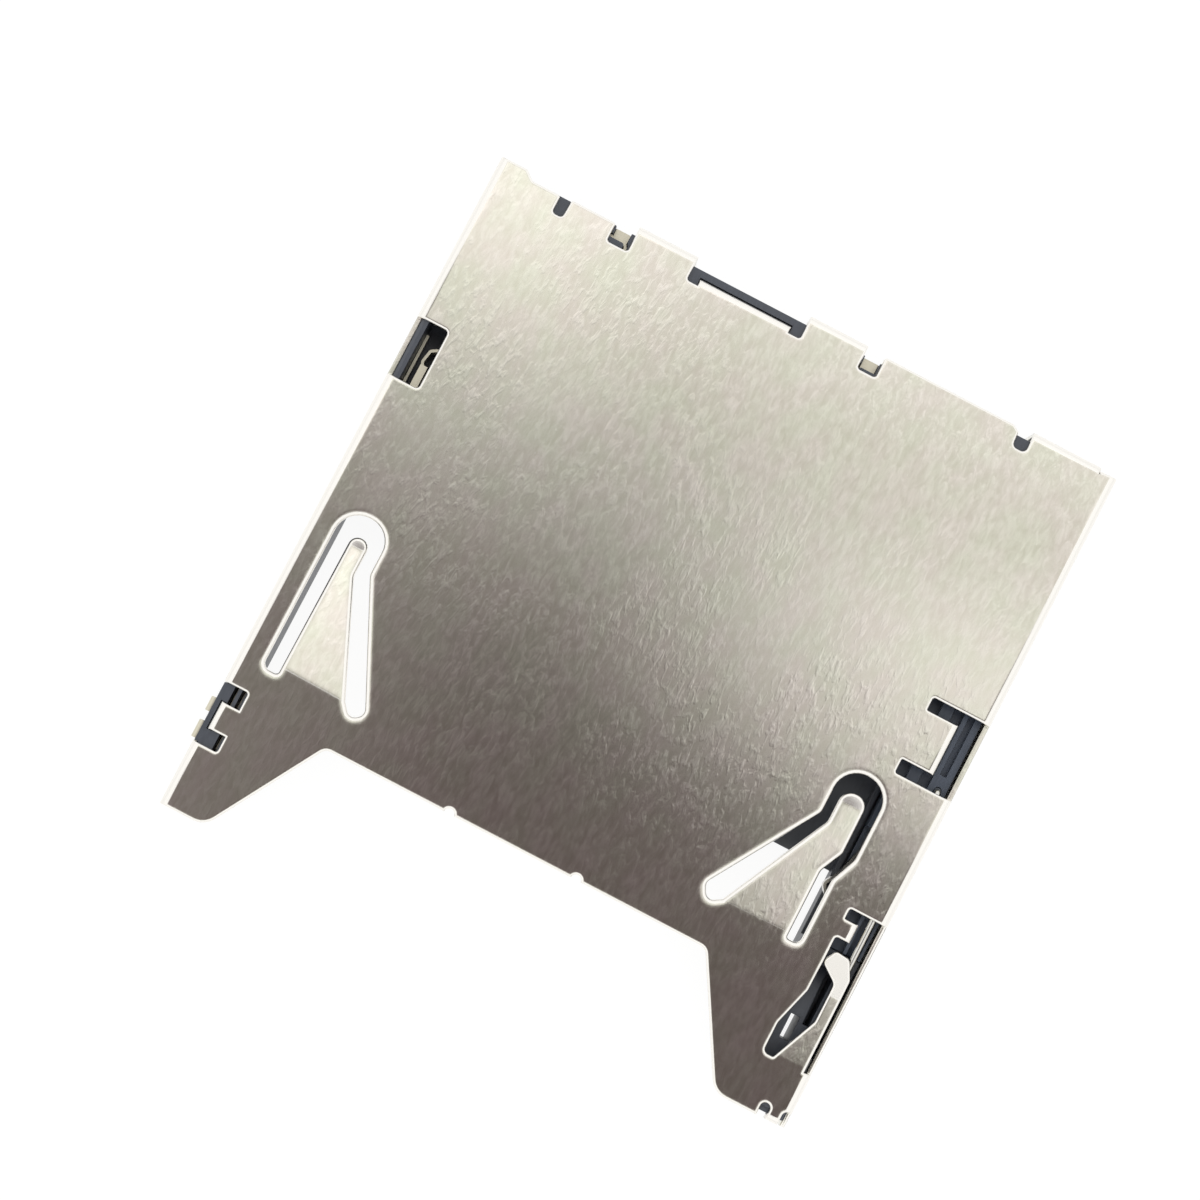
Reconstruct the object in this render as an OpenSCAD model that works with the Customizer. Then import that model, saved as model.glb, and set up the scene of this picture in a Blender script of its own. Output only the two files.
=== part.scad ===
// Full-size memory card socket, push-push type, for surface mounting.
// Origin: centre of the shell's footprint on the board. +Y is the way the card goes in, +Z is up.

/* [Card] */
// Width of the card that goes in
card_w = 24; // [23.6:0.1:24.6]
// Thickness of the card
card_t = 2.1; // [1.9:0.05:2.3]
// Play of the card on each side and in height
card_play = 0.1; // [0.05:0.01:0.15]

/* [Shell] */
// Depth of the shell from the mouth to the rear skirts
shell_l = 29.9; // [29.4:0.1:32]
// Thickness of the steel sheet
sheet_t = 0.2; // [0.15:0.01:0.22]
// Outer radius of the folds
fold_r = 0.33; // [0.28:0.01:0.36]
// From the card's left edge to the shell's left side
left_w = 1.55; // [1.5:0.01:1.8]
// From the card's right edge to the shell's right side
right_w = 2.95; // [2.92:0.01:3.2]
// Depth of the mouth cut-out
mouth_d = 5; // [4.2:0.1:5.6]
// Length of each card-press tongue, from its root
tongue_l = 6.2; // [5.6:0.1:6.4]
// Drop of the left tongue's tip
tongue_drop = 0.45; // [0.3:0.01:0.5]
// Drop of the right tongue's tip
right_drop = 0.16; // [0.14:0.01:0.3]
// Height of the side walls' lower edge above the board
wall_gap = 0.35; // [0.3:0.01:0.5]
// Width of a ground leg
leg_w = 1.2; // [0.9:0.1:1.5]

/* [Housing] */
// Thickness of the card floor
floor_t = 0.7; // [0.65:0.01:0.9]
// Thickness of the slider channel's floor
channel_t = 0.55; // [0.5:0.01:0.6]
// Thickness of the rear wall
rear_wall = 1.13; // [1.1:0.01:1.2]
// Thickness of the left arm's outer wall
arm_wall = 0.31; // [0.25:0.01:0.33]
// Length of the lead-in slopes at the mouth
lead_in = 0.8; // [0.6:0.05:1]
// Length of the card floor in front of the rear wall
floor_l = 12.4; // [11.5:0.1:14]
// Gap between pieces that are pushed together
fit = 0.03; // [0.02:0.005:0.04]

/* [Contacts] */
// Width of a contact's beam
contact_w = 0.8; // [0.7:0.05:1]
// Width of a solder tail
tail_w = 0.6; // [0.5:0.05:0.7]
// Thickness of the contact strip
contact_t = 0.15; // [0.12:0.01:0.16]
// Height of a free contact's crest above the card floor
crest_h = 0.42; // [0.3:0.01:0.48]
// From the rear wall to a contact's crest
crest_y = 4; // [3.6:0.1:4.4]
// Thickness of the switch leaves
leaf_t = 0.12; // [0.1:0.01:0.14]
// Height of the switch leaves
leaf_h = 0.8; // [0.7:0.05:0.85]
// Width of the write-protect switch's fixed tail
fixed_tail_w = 0.66; // [0.5:0.02:0.7]
// Width of the write-protect switch's moving tail
move_tail_w = 0.81; // [0.6:0.01:0.9]

/* [Ejector] */
// Travel of the slider from rest to its rear stop
travel = 4; // [3.4:0.1:4.6]
// Diameter of the cam rod's wire
rod_d = 0.3; // [0.26:0.01:0.32]
// Distance from the cam rod's pin to the rear end of the slider
slide_rear = 8.12; // [7.8:0.02:8.4]
// Diameter of the rod's pin
pin_d = 0.24; // [0.2:0.01:0.26]
// Depth of the cam groove
groove_d = 0.45; // [0.4:0.01:0.5]
// Sideways throw of the cam groove over the travel
cam_throw = 0.515; // [0.45:0.005:0.54]
// Step between two levels of the cam groove
cam_step = 0.1; // [0.06:0.01:0.14]
// Outer diameter of the spring
spring_d = 0.9; // [0.8:0.01:0.92]
// Diameter of the spring's wire
wire_d = 0.15; // [0.12:0.01:0.17]
// Turns of the spring
turns = 20; // [14:1:24]
// Height of the slider's bar above the card floor's top
bar_h = 1.15; // [1.1:0.01:1.2]
// Height of the cam block above the bar
cam_h = 0.4; // [0.36:0.01:0.44]
// Width of the cam block
cam_w = 1.23; // [1.2:0.01:1.28]
// Width of the rail behind the cam block
rail_w = 0.8; // [0.7:0.01:0.86]
// Reach of the card hook past the card's edge
hook_w = 2; // [1.6:0.1:2.2]
// Length of the leaf that locks the card
lock_leaf_l = 3.5; // [3.2:0.1:3.8]

/* [Hidden] */
$fn = 32;
far = 40;

// Heights above the board
lid_z = floor_t + card_t + card_play;   // underside of the cover
top_z = lid_z + sheet_t;
mid_z = lid_z + sheet_t / 2;            // middle of the top sheet
fold_m = fold_r - sheet_t / 2;          // fold radius at the middle of the sheet
fold_in = fold_r + 0.03;                // from the shell's side to clear of the fold
card_z = floor_t + card_play / 2;       // underside of the card

// Sideways places
shell_w = left_w + card_w + right_w;
card_x = (left_w - right_w) / 2;
xl = -shell_w / 2;
xr = shell_w / 2;
card_l = card_x - card_w / 2;
card_r = card_x + card_w / 2;
guide_l = card_l - card_play;
guide_r = card_r + card_play;
hous_l = xl + sheet_t + fit;
hous_r = xr - sheet_t - fit;

// Front and rear places
yf = -shell_l / 2;
yr = shell_l / 2;
rear_y = yr - 0.42;                     // rear face of the housing
stop_y = rear_y - rear_wall;            // inner face of the rear wall
floor_y = stop_y - floor_l;             // front edge of the card floor
mouth_y = yf + mouth_d;
root_y = yf + 7.07;                     // bend line of the card-press tongues
recess_y = yr - 0.75 - fold_r;          // where the recessed rear leg starts to fold
side_floor_y = yf + 10.12;              // front edge of the floor beside the channel

// Cam rod and slider at rest, with the slider pushed out to the front
pivot = [xr - 0.59, yf + 6.35];
slide_y1 = stop_y - travel - 1.2;       // rear end of the slider
pin_x = xr - 0.635;
pin_y = slide_y1 - slide_rear;
rod_l = pin_y - pivot[1];
slide_top = floor_t + bar_h;            // top of the slider's bar
cam_top = slide_top + cam_h;            // top of its cam block
rod_z = cam_top + 0.05 + rod_d / 2;
slide_z = channel_t + 0.05;
slide_y0 = pivot[1] + 1;
slide_l = guide_r + 0.35;
slide_r = xr - sheet_t - 0.07;
groove_w = pin_d + 0.06;
spring_x = slide_r - 0.88;
spring_z = slide_z + spring_d / 2 + 0.03;
trough_y = pin_y + 0.67;                // front end of the spring's trough
lock_leaf_y = pin_y - 6.08;             // free end of the leaf that locks the card

// Signal contacts: place of each from the card's centre, and how far its crest moves forward
contact_at = [7.5, 5, 2.5, 0, -2.5, -5, -7.5, -9.2, 10];
crest_shift = [0, 0, 0, 0, 0, 0, 0, 0, 1];

// Switches
lock_y = stop_y - 7.1;                  // nose of the write-protect switch
lock_fixed_x = hous_l + arm_wall + leaf_t / 2 + 0.02;
lock_move_x = lock_fixed_x + 0.33;
tail_fixed_y = [yf + 4.09, yf + 4.09 + fixed_tail_w];
tail_move_y = [yf + 2.87, yf + 2.87 + move_tail_w];
tail_out = xl - 0.3;
detect_x = card_x - 10.7;               // nose of the card-detect switch
detect_tail_x = card_x - 8.35;
detect_lug_x = card_x - 7.7;
fixed_tail_x = card_x + 3.8;

// Points and outlines

function unit(v) = v / norm(v);
function left_of(v) = [-v[1], v[0]];
function cross_z(a, b) = a[0] * b[1] - a[1] * b[0];

// Arc that rounds the corner b between a and c with radius r
function corner(a, b, c, r, n) =
    let (u = unit(a - b), v = unit(c - b),
         half = acos(max(-1, min(1, u * v))) / 2,
         reach = min(r / tan(half), 0.49 * norm(a - b), 0.49 * norm(c - b)),
         rr = reach * tan(half),
         m = b + unit(u + v) * rr / sin(half),
         p = b + u * reach,
         side = sign(cross_z(u, v)),
         sweep = 180 - 2 * half,
         start = atan2(p[1] - m[1], p[0] - m[0]))
    r <= 0 || abs(cross_z(u, v)) < 0.001 ? [b]
        : [for (i = [0:n]) m + rr * [cos(start - side * sweep * i / n), sin(start - side * sweep * i / n)]];

// Closed outline from points [x, y, radius]
function rounded(pts, n = 6) =
    [for (i = [0:len(pts) - 1])
        let (a = pts[(i + len(pts) - 1) % len(pts)], b = pts[i], c = pts[(i + 1) % len(pts)])
        each corner([a[0], a[1]], [b[0], b[1]], [c[0], c[1]], len(b) > 2 ? b[2] : 0, n)];

// Open path from points [x, y, radius]
function eased_each(pts, n = 8) =
    [for (i = [0:len(pts) - 1])
        let (b = pts[i])
        each i == 0 || i == len(pts) - 1 ? [[b[0], b[1]]]
            : corner([pts[i - 1][0], pts[i - 1][1]], [b[0], b[1]], [pts[i + 1][0], pts[i + 1][1]], b[2], n)];

// Open path with each inner corner rounded to radius r
function eased(pts, r, n = 6) =
    [for (i = [0:len(pts) - 1])
        each i == 0 || i == len(pts) - 1 ? [pts[i]]
            : corner(pts[i - 1], pts[i], pts[i + 1], r, n)];

// Path moved sideways by d, with mitred corners
function beside(path, d) =
    [for (i = [0:len(path) - 1])
        let (u = i == 0 ? unit(path[1] - path[0]) : unit(path[i] - path[i - 1]),
             v = i == len(path) - 1 ? u : unit(path[i + 1] - path[i]),
             m = unit(left_of(u) + left_of(v)))
        path[i] + m * d / max(0.3, m * left_of(u))];

function backwards(list) = [for (i = [len(list) - 1:-1:0]) list[i]];

// Strip of thickness t along a path, folds rounded to radius r at its middle
module ribbon(path, t, r = 0.15, n = 6) {
    line = eased(path, r, n);
    polygon(concat(beside(line, t / 2), backwards(beside(line, -t / 2))));
}

module outline(pts, n = 6) polygon(rounded(pts, n));

module box(a, b) translate(a) cube(b - a);

// Flat layer between two heights
module layer(z0, z1) translate([0, 0, z0]) linear_extrude(z1 - z0) children();

// Section drawn in Y and Z, run along X
module along_x(x0, x1) translate([x0, 0, 0]) rotate([90, 0, 90]) linear_extrude(x1 - x0) children();

// Section drawn in X and Z, run along Y
module along_y(y0, y1) translate([0, y1, 0]) rotate([90, 0, 0]) linear_extrude(y1 - y0) children();

// Shell cover

// Blank of the top sheet, seen from above, with the mouth and the rear edge
module blank_edge() {
    c = card_x;
    outline([
        [xl - 1, yf], [card_l + 0.49, yf, 0.9], [card_l + 3.4, mouth_y, 0.4],
        [card_r - 3.26, mouth_y, 0.4], [card_r - 0.29, yf, 0.9], [xr + 1, yf],
        [xr + 1, yr - 0.16], [xr - 0.78, yr - 0.16, 0.08], [xr - 0.78, yr - fold_r],
        [c + 11.07, yr - fold_r], [c + 11.07, yr - 0.95, 0.2], [c + 10.5, yr - 0.95, 0.2],
        [c + 10.45, yr - 0.3, 0.12], [c + 10.15, yr - 0.12, 0.12],
        [c + 4.21, yr - 0.12, 0.12], [c + 4.21, yr - 1.07, 0.12], [c + 3.39, yr - 1.07, 0.12],
        [c + 3.39, yr - fold_r], [c + 0.74, yr - fold_r], [c + 0.74, recess_y, 0.12],
        [c - 4.48, recess_y, 0.12], [c - 4.48, yr - fold_r],
        [c - 7.18, yr - fold_r], [c - 7.18, yr - 1.19, 0.12], [c - 8.12, yr - 1.19, 0.12],
        [c - 8.12, yr - 0.37, 0.12], [c - 10.16, yr - 0.37, 0.12], [c - 10.2, yr - 1.19, 0.15],
        [c - 10.65, yr - 1.19, 0.15], [c - 10.65, yr - 0.42, 0.12], [xl + 1.6, yr - 0.42, 0.15],
        [xl + 1.19, yr - 0.09, 0.15], [xl - 1, yr - 0.09]
    ], 5);
}

// Half-round nicks of the mouth's inner edge
module mouth_nicks() {
    for (x = [card_x - 2.97, card_x + 2.82])
        translate([x, mouth_y]) circle(0.22);
}

// Left card-press tongue: the opening round it, from the tongue's right root to its left root
function left_opening() = [
    [card_l + 3.2, root_y, 0], [card_l + 3.62, root_y - 0.5, 0.3], [card_l + 4.17, root_y - 0.15, 0.33],
    [card_l + 1.68, root_y + 5.02, 0.5], [card_l + 1.68, root_y + tongue_l + 0.86, 1.06],
    [card_l - 0.44, root_y + tongue_l + 0.86, 1.06], [card_l - 0.44, root_y - 0.29, 0.33],
    [card_l + 0.27, root_y - 0.29, 0.33], [card_l + 0.27, root_y, 0]];

// The tongue itself, from its right root to its left root
function left_tongue() = [
    [card_l + 3.2, root_y, 0], [card_l + 1.1, root_y + 4.7, 0.6],
    [card_l + 1.1, root_y + tongue_l, 0.41], [card_l + 0.27, root_y + tongue_l, 0.41],
    [card_l + 0.27, root_y, 0]];

// Right card-press tongue, with its waist
function right_opening() = [
    [card_r - 0.52, root_y, 0], [card_r - 0.52, root_y - 0.2, 0.28], [card_r + 0.05, root_y - 0.2, 0.28],
    [card_r + 0.05, root_y + 2.78, 0.6], [card_r + 0.5, root_y + 3.88, 0.6],
    [card_r + 0.5, root_y + tongue_l + 0.94, 1.04], [card_r - 1.59, root_y + tongue_l + 0.94, 1.04],
    [card_r - 1.59, root_y + 4.98, 0.5], [card_r - 4.45, root_y + 0.28, 0.33],
    [card_r - 4.1, root_y - 0.34, 0.3], [card_r - 3.54, root_y, 0]];

function right_tongue() = [
    [card_r - 0.52, root_y, 0], [card_r - 0.52, root_y + 2.86, 0.5], [card_r - 0.03, root_y + 3.88, 0.5],
    [card_r - 0.03, root_y + tongue_l + 0.1, 0.55], [card_r - 1.18, root_y + tongue_l + 0.1, 0.55],
    [card_r - 1.18, root_y + 4.78, 0.5], [card_r - 3.54, root_y, 0]];

// Fall of a tongue along Y: level at its root, down, then a little up at its tip
function tongue_fall(drop) = [
    [root_y - 0.3, 0], [root_y + 0.04, 0], [root_y + tongue_l - 0.4, -drop],
    [root_y + tongue_l + 0.5, 0.08 - drop]];

// Tongue with its roots run a little into the flat sheet
module pressed(pts, drop) {
    last = len(pts) - 1;
    roots = [[pts[last][0], root_y - 0.1, 0], [pts[0][0], root_y - 0.1, 0]];
    intersection() {
        layer(0, far) outline(concat(pts, roots), 8);
        along_x(pts[last][0] - 3, pts[0][0] + 3)
            ribbon([for (p = tongue_fall(drop)) [p[0], mid_z + p[1]]], sheet_t, 0.6);
    }
}

// Window in the left side, over the write-protect switch
module left_window() {
    outline([[xl - 1, lock_y - 1.52], [guide_l - 0.02, lock_y - 1.52, 0.16],
             [guide_l - 0.02, lock_y + 1.13, 0.16], [xl - 1, lock_y + 1.13]]);
}

// Window over the slider, with its guide tab left standing
tab_y = [pin_y + 0.45, pin_y + 2.7];
module slider_window() {
    outline([[xr + 1, pin_y - 0.16], [xr - 2.62, pin_y - 0.16, 0.1], [xr - 2.62, tab_y[0], 0.05],
             [xr - 1.5, tab_y[0]], [xr - 1.5, tab_y[1]], [xr - 2.62, tab_y[1], 0.05],
             [xr - 2.62, pin_y + 3.27, 0.1], [xr + 1, pin_y + 3.27]]);
}

// Window over the rod's pivot, with a second guide tab and the root of the rod-press tongue
rod_root_y = yf + 2.45;
tab2_y = [yf + 7.85, yf + 8.66];
module rod_window() {
    outline([[xr + 1, yf + 9.11], [xr - 1.72, yf + 9.11, 0.1], [xr - 1.72, tab2_y[1], 0.05],
             [xr - 1.42, tab2_y[1]], [xr - 1.42, tab2_y[0]], [xr - 1.72, tab2_y[0], 0.12],
             [xr - 1.72, yf + 5.4, 0.5], [xr - 2.21, yf + 3.7, 0.5], [xr - 2.21, yf + 2.38, 0.22],
             [xr - 1.77, yf + 2.38, 0.2], [xr - 1.73, rod_root_y], [xr - fold_in, rod_root_y],
             [xr - fold_in, yf + 2.38], [xr + 1, yf + 2.38]]);
}

// Rod-press tongue with its hooked tip
module rod_tongue() {
    outline([[xr - 1.73, rod_root_y - 0.05], [xr - 1.73, rod_root_y], [xr - 0.9, yf + 4.4, 0.4],
             [xr - 0.9, yf + 6.1, 0.3], [xr - 1.75, yf + 6.72, 0.25], [xr - 1.4, yf + 7.35, 0.2],
             [xr - 0.75, yf + 7.28, 0.3], [xr - fold_in, yf + 6.5, 0.4],
             [xr - fold_in, rod_root_y - 0.05]], 8);
}

module rod_tongue_section() {
    tip_z = rod_z + rod_d / 2 + 0.04 + sheet_t / 2;
    ribbon([[rod_root_y - 0.3, mid_z], [rod_root_y + 0.1, mid_z], [yf + 5.6, mid_z - 0.1],
            [yf + 7.6, tip_z]], sheet_t, 0.5);
}

// Notches of the left front and the leg between them
notch_y = [yf + 2.87, yf + 5.56];
left_leg_y = [yf + 3.56, yf + 4.79];
module left_notches() {
    difference() {
        outline([[xl - 1, notch_y[0]], [xl + 1.11, notch_y[0], 0.1], [xl + 1.11, notch_y[1], 0.1],
                 [xl - 1, notch_y[1]]]);
        translate([xl + 0.7, left_leg_y[0]]) square([2, left_leg_y[1] - left_leg_y[0]]);
    }
}

// Slots beside the small tab of the right front corner
module corner_slots() {
    outline([[xr - 1.31, yf - 1], [xr - 0.9, yf - 1], [xr - 0.9, yf + 0.62, 0.2],
             [xr - 1.31, yf + 0.62, 0.2]]);
    outline([[xr - fold_in, yf - 1], [xr + 1, yf - 1], [xr + 1, yf + 0.66],
             [xr - fold_in, yf + 0.66, 0.2]]);
    translate([xr - 1, yf - 1]) square([0.8, 1.4]);
}

// Leg that hangs from a tab of the top sheet: x is its outer face, out is +1 or -1
module hanging_leg(x, out, y, foot) {
    along_y(y[0], y[1])
        ribbon([[x - out * 1.3, mid_z], [x - out * sheet_t / 2, mid_z], [x - out * sheet_t / 2, foot]],
               sheet_t, 0.18);
}

// Places of the latches: [side, middle along Y]
side_latch = [[-1, yr - 3.9], [-1, yf + 7.6], [1, yf + 2.3], [1, yr - 1.1]];
latch_w = 1.3;
latch_z = [0.85, 1.8];
latch_out = 0.15;

// Rear skirts: [left end, right end] from the card's centre
skirts = [[-7.18, -4.48], [0.74, 3.39], [11.07, xr - 0.78 - card_x]];

// Ground legs: [side, middle along Y]
legs = [[-1, yr - 6.2], [-1, yf + 10.4], [1, yr - 4.2], [1, yf + 9.6]];

module side_walls() {
    along_y(yf, yr)
        ribbon([[xl + sheet_t / 2, wall_gap], [xl + sheet_t / 2, mid_z], [xr - sheet_t / 2, mid_z],
                [xr - sheet_t / 2, wall_gap]], sheet_t, fold_m, 8);
}

module rear_skirts() {
    for (s = skirts)
        difference() {
            along_x(card_x + s[0], card_x + s[1])
                ribbon([[yr - 1.2, mid_z], [yr - sheet_t / 2, mid_z], [yr - sheet_t / 2, 0.5]],
                       sheet_t, fold_m, 8);
            box([card_x + (s[0] + s[1]) / 2 - latch_w / 2, yr - 1, latch_z[0]],
                [card_x + (s[0] + s[1]) / 2 + latch_w / 2, yr + 1, latch_z[1]]);
        }
}

module recessed_leg() {
    along_x(card_x - 3.99, card_x + 0.21)
        ribbon([[yr - 1.8, mid_z], [yr - 0.75 - sheet_t / 2, mid_z], [yr - 0.75 - sheet_t / 2, 1.3]],
               sheet_t, fold_m, 8);
}

module shell_cover() color("#b4b0a2") {
    window_z = top_z - fold_r - 0.12;
    difference() {
        intersection() {
            side_walls();
            layer(-1, far) blank_edge();
        }
        layer(-1, far) mouth_nicks();
        layer(window_z, far) outline(left_opening(), 8);
        layer(window_z, far) outline(right_opening(), 8);
        layer(window_z, far) left_window();
        layer(window_z, far) slider_window();
        layer(window_z, far) rod_window();
        layer(-1, far) left_notches();
        layer(window_z, far) corner_slots();
        for (l = side_latch)
            box([l[0] * xr - 0.5, l[1] - latch_w / 2, latch_z[0]],
                [l[0] * xr + 0.5, l[1] + latch_w / 2, latch_z[1]]);
    }
    pressed(left_tongue(), tongue_drop);
    pressed(right_tongue(), right_drop);
    intersection() {
        layer(0, far) rod_tongue();
        along_x(xr - 2, xr) rod_tongue_section();
    }
    hanging_leg(xr - 1.15, 1, tab_y, cam_top + 0.1);
    hanging_leg(xr - 1.07, 1, tab2_y, cam_top + 0.1);
    hanging_leg(xl + 0.29, -1, left_leg_y, floor_t + 0.9);
    along_x(xr - 0.9, xr - fold_in)
        ribbon([[yf + 0.5, mid_z], [yf + sheet_t / 2, mid_z], [yf + sheet_t / 2, lid_z - 0.6]],
               sheet_t, 0.18);
    rear_skirts();
    recessed_leg();
    for (l = legs)
        translate([l[0] * (xr - sheet_t / 2), l[1], wall_gap / 2 + 0.05])
            cube([sheet_t, leg_w, wall_gap + 0.1], center = true);
}

// Housing

module left_arm() {
    front = yf + 0.45;
    wide = notch_y[1] + 0.1;
    box([hous_l, front, 0], [guide_l, wide, lid_z]);
    box([hous_l, front, 0], [xl + 1.05, floor_y, lid_z]);
    box([hous_l, floor_y - 0.4, 0], [guide_l, rear_y, lid_z]);
    box([xl + 0.05, notch_y[0] + fit, 0], [hous_l + 0.1, notch_y[1] - fit, lid_z]);
}

module card_floor() {
    box([hous_l, floor_y, 0], [guide_r + 0.23, rear_y, floor_t]);
    box([card_r - 3.1, side_floor_y, 0], [guide_r + 0.23, floor_y + 1, floor_t]);
}

// Sloped lead-ins where the card comes in: both side guides and both front edges of the floor
module card_lead_ins() {
    front = yf + 0.45;
    layer(-1, far) {
        polygon([[guide_l - lead_in / 2, front - 0.01], [guide_l + 0.01, front - 0.01],
                 [guide_l + 0.01, front + lead_in]]);
        polygon([[guide_r + lead_in / 2, front - 0.01], [guide_r - 0.01, front - 0.01],
                 [guide_r - 0.01, front + lead_in]]);
    }
    for (run = [[guide_l, card_r - 3.1, floor_y], [card_r - 3.2, guide_r, side_floor_y]])
        along_x(run[0], run[1])
            polygon([[run[2] - 0.01, floor_t - lead_in / 4], [run[2] + lead_in / 2, floor_t + 0.01],
                     [run[2] - 0.01, floor_t + 0.01]]);
}

// Hollows moulded up into the thick blocks at the front, from below
module front_hollows() {
    wall = 0.4;
    box([guide_r + lead_in / 2 + wall, yf + 0.45 + wall, -1],
        [xr - sheet_t - wall, yf + 2.2 - wall, lid_z - 0.6]);
    box([guide_r + wall, yf + 4.6, -1], [xr - 1.78 - wall, slide_y0 - fit - wall, cam_top - 0.1 - wall]);
    box([hous_l + wall, yf + 0.45 + wall, -1],
        [guide_l - lead_in / 2, notch_y[0] - wall, lid_z - 0.6]);
}

module slider_channel() {
    box([guide_r, yf + 6.9, 0], [hous_r, rear_y, channel_t]);
    box([guide_r, yf + 6.9, 0], [guide_r + 0.23, rear_y, floor_t + 0.5]);
}

module rear_block() {
    box([hous_l, stop_y, 0], [hous_r, rear_y, lid_z]);
    for (s = skirts)
        box([card_x + s[0] + 0.2, rear_y - 0.1, 0.5],
            [card_x + s[1] - 0.2, yr - sheet_t - fit, lid_z - 0.35]);
}

// Front block with the pivot of the rod, the sloped face and the slot beside it
module front_block() {
    // Step behind the small tab of the right front corner
    box([xr - 1.6, yf + sheet_t + fit, 0], [hous_r, yf + 0.5, lid_z - 0.1]);
    difference() {
        box([guide_r, yf + 0.45, 0], [hous_r, slide_y0 - fit, lid_z]);
        // Room for the rod-press tongue and the rod
        box([xr - 2.3, yf + 2.2, cam_top - 0.1], [xr + 1, yf + 8, far]);
        // Groove beside the pivot
        box([xr - 1.2, yf + 4.05, channel_t], [xr - 0.92, yf + 8, far]);
        // Sloped face
        along_x(xr - 1.85, xr - 1.15)
            polygon([[yf + 4.35, cam_top - 0.1], [yf + 6.55, cam_top - 0.65], [yf + 6.55, far],
                     [yf + 4.35, far]]);
        // Slot through the floor
        box([xr - 1.8, yf + 3.15, -1], [xr - 1.4, yf + 4.25, far]);
        // Pivot hole
        translate([pivot[0], pivot[1], channel_t]) cylinder(h = far, d = rod_d + 2 * fit);
    }
}

module spring_boss() {
    translate([spring_x, stop_y + 0.1, spring_z]) rotate([90, 0, 0])
        cylinder(h = 1.5, d1 = (spring_d - 2 * wire_d) * 0.85, d2 = (spring_d - 2 * wire_d) * 0.6);
}

// Bevel of the top edges, clear of the inside of the cover's folds
module top_bevels() {
    c = fold_r - sheet_t + 0.02;
    for (run = [[-1, yf, notch_y[0] - 0.05], [-1, notch_y[1] + 0.05, yr], [1, yf, yr]])
        along_y(run[1], run[2])
            polygon([[run[0] * (hous_r - c), lid_z + 0.01], [run[0] * (hous_r + 0.02), lid_z + 0.01],
                     [run[0] * (hous_r + 0.02), lid_z - c]]);
}

module latches() {
    for (l = side_latch)
        along_y(l[1] - latch_w / 2 + 0.08, l[1] + latch_w / 2 - 0.08)
            polygon([[l[0] * (hous_r - 0.1), latch_z[0] + 0.08],
                     [l[0] * (hous_r + latch_out), latch_z[0] + 0.1],
                     [l[0] * hous_r, latch_z[1] - 0.05], [l[0] * (hous_r - 0.1), latch_z[1] - 0.05]]);
    for (s = skirts)
        along_x(card_x + (s[0] + s[1]) / 2 - latch_w / 2 + 0.08,
                card_x + (s[0] + s[1]) / 2 + latch_w / 2 - 0.08)
            polygon([[yr - sheet_t - 0.2, latch_z[0] + 0.08],
                     [yr - sheet_t - fit + latch_out, latch_z[0] + 0.1],
                     [yr - sheet_t - fit, latch_z[1] - 0.05], [yr - sheet_t - 0.2, latch_z[1] - 0.05]]);
}

// Path of a contact strip in Y and Z, from its tail forward to its tip
function contact_path(shift) =
    let (level = floor_t * 0.55, flat = contact_t / 2, top = floor_t + crest_h - contact_t / 2,
         crest = stop_y - crest_y - shift)
    [[rear_y - 0.1, flat], [stop_y + 0.25, flat], [stop_y - 0.15, level], [stop_y - 1.2, level],
     [crest + 0.45, top - 0.02], [crest - 0.25, top - 0.02], [crest - 1.1, floor_t * 0.75]];

// Cuts in the floor for one contact: beam window, buried run and tail relief
module contact_cuts(x, shift) {
    crest = stop_y - crest_y - shift;
    half = contact_w / 2 + fit;
    box([x - half - 0.15, crest - 1.4, -1], [x + half + 0.15, stop_y - 1.1, far]);
    intersection() {
        along_x(x - half, x + half)
            ribbon(contact_path(shift), contact_t + 2 * fit, 0.15);
        box([x - 2, stop_y - 1.3, -1], [x + 2, rear_y + 1, floor_t]);
    }
    box([x - tail_w / 2 - 0.1, stop_y + 0.2, -1], [x + tail_w / 2 + 0.1, rear_y + 1, contact_t + 0.12]);
}

// Slots of the write-protect switch in the left arm
module lock_switch_cuts() {
    slot = leaf_t / 2 + fit;
    z0 = floor_t + 0.25;
    box([lock_fixed_x - slot, tail_fixed_y[0] - fit, z0], [lock_fixed_x + slot, lock_y, far]);
    box([lock_move_x - slot, tail_move_y[0] - fit, z0], [lock_move_x + slot, floor_y - 0.5, far]);
    box([lock_move_x - slot, floor_y - 0.6, z0], [guide_l - 0.1, lock_y, far]);
    box([hous_l + arm_wall, lock_y - 2, z0 - 0.2], [guide_l + 0.1, lock_y + 1.5, far]);
    box([xl - 1, tail_fixed_y[0] - fit, -1],
        [lock_fixed_x + slot, tail_fixed_y[1] + fit, z0 + 0.05]);
    box([xl - 1, tail_move_y[0] - fit, -1],
        [lock_move_x + slot, tail_move_y[1] + fit, z0 + 0.05]);
}

// Pocket and slots of the card-detect switch in the rear wall
module card_switch_cuts() {
    slot = leaf_t / 2 + fit;
    box([detect_x - 1.1, stop_y - 1.2, floor_t + 0.2], [detect_tail_x + 0.35, stop_y + 0.35, far]);
    along_z_path(detect_path(), leaf_t + 2 * fit, floor_t + 0.2, far);
    along_z_path(fixed_path(), leaf_t + 2 * fit, floor_t + 0.2, far);
    for (x = [detect_tail_x, fixed_tail_x]) {
        side = tail_w / 2 + fit;
        front = rear_y - 0.42 - slot;
        box([x - side, front, -1], [x + side, front + 2 * slot, far]);
        box([x - side, front, -1], [x + side, rear_y + 1, leaf_t + 0.1]);
    }
    for (x = [detect_lug_x, fixed_tail_x])
        box([lug_x(x)[0] - fit, rear_y - 0.42 - slot, lug_z - fit], [lug_x(x)[1] + fit, rear_y + 1, far]);
}

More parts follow.
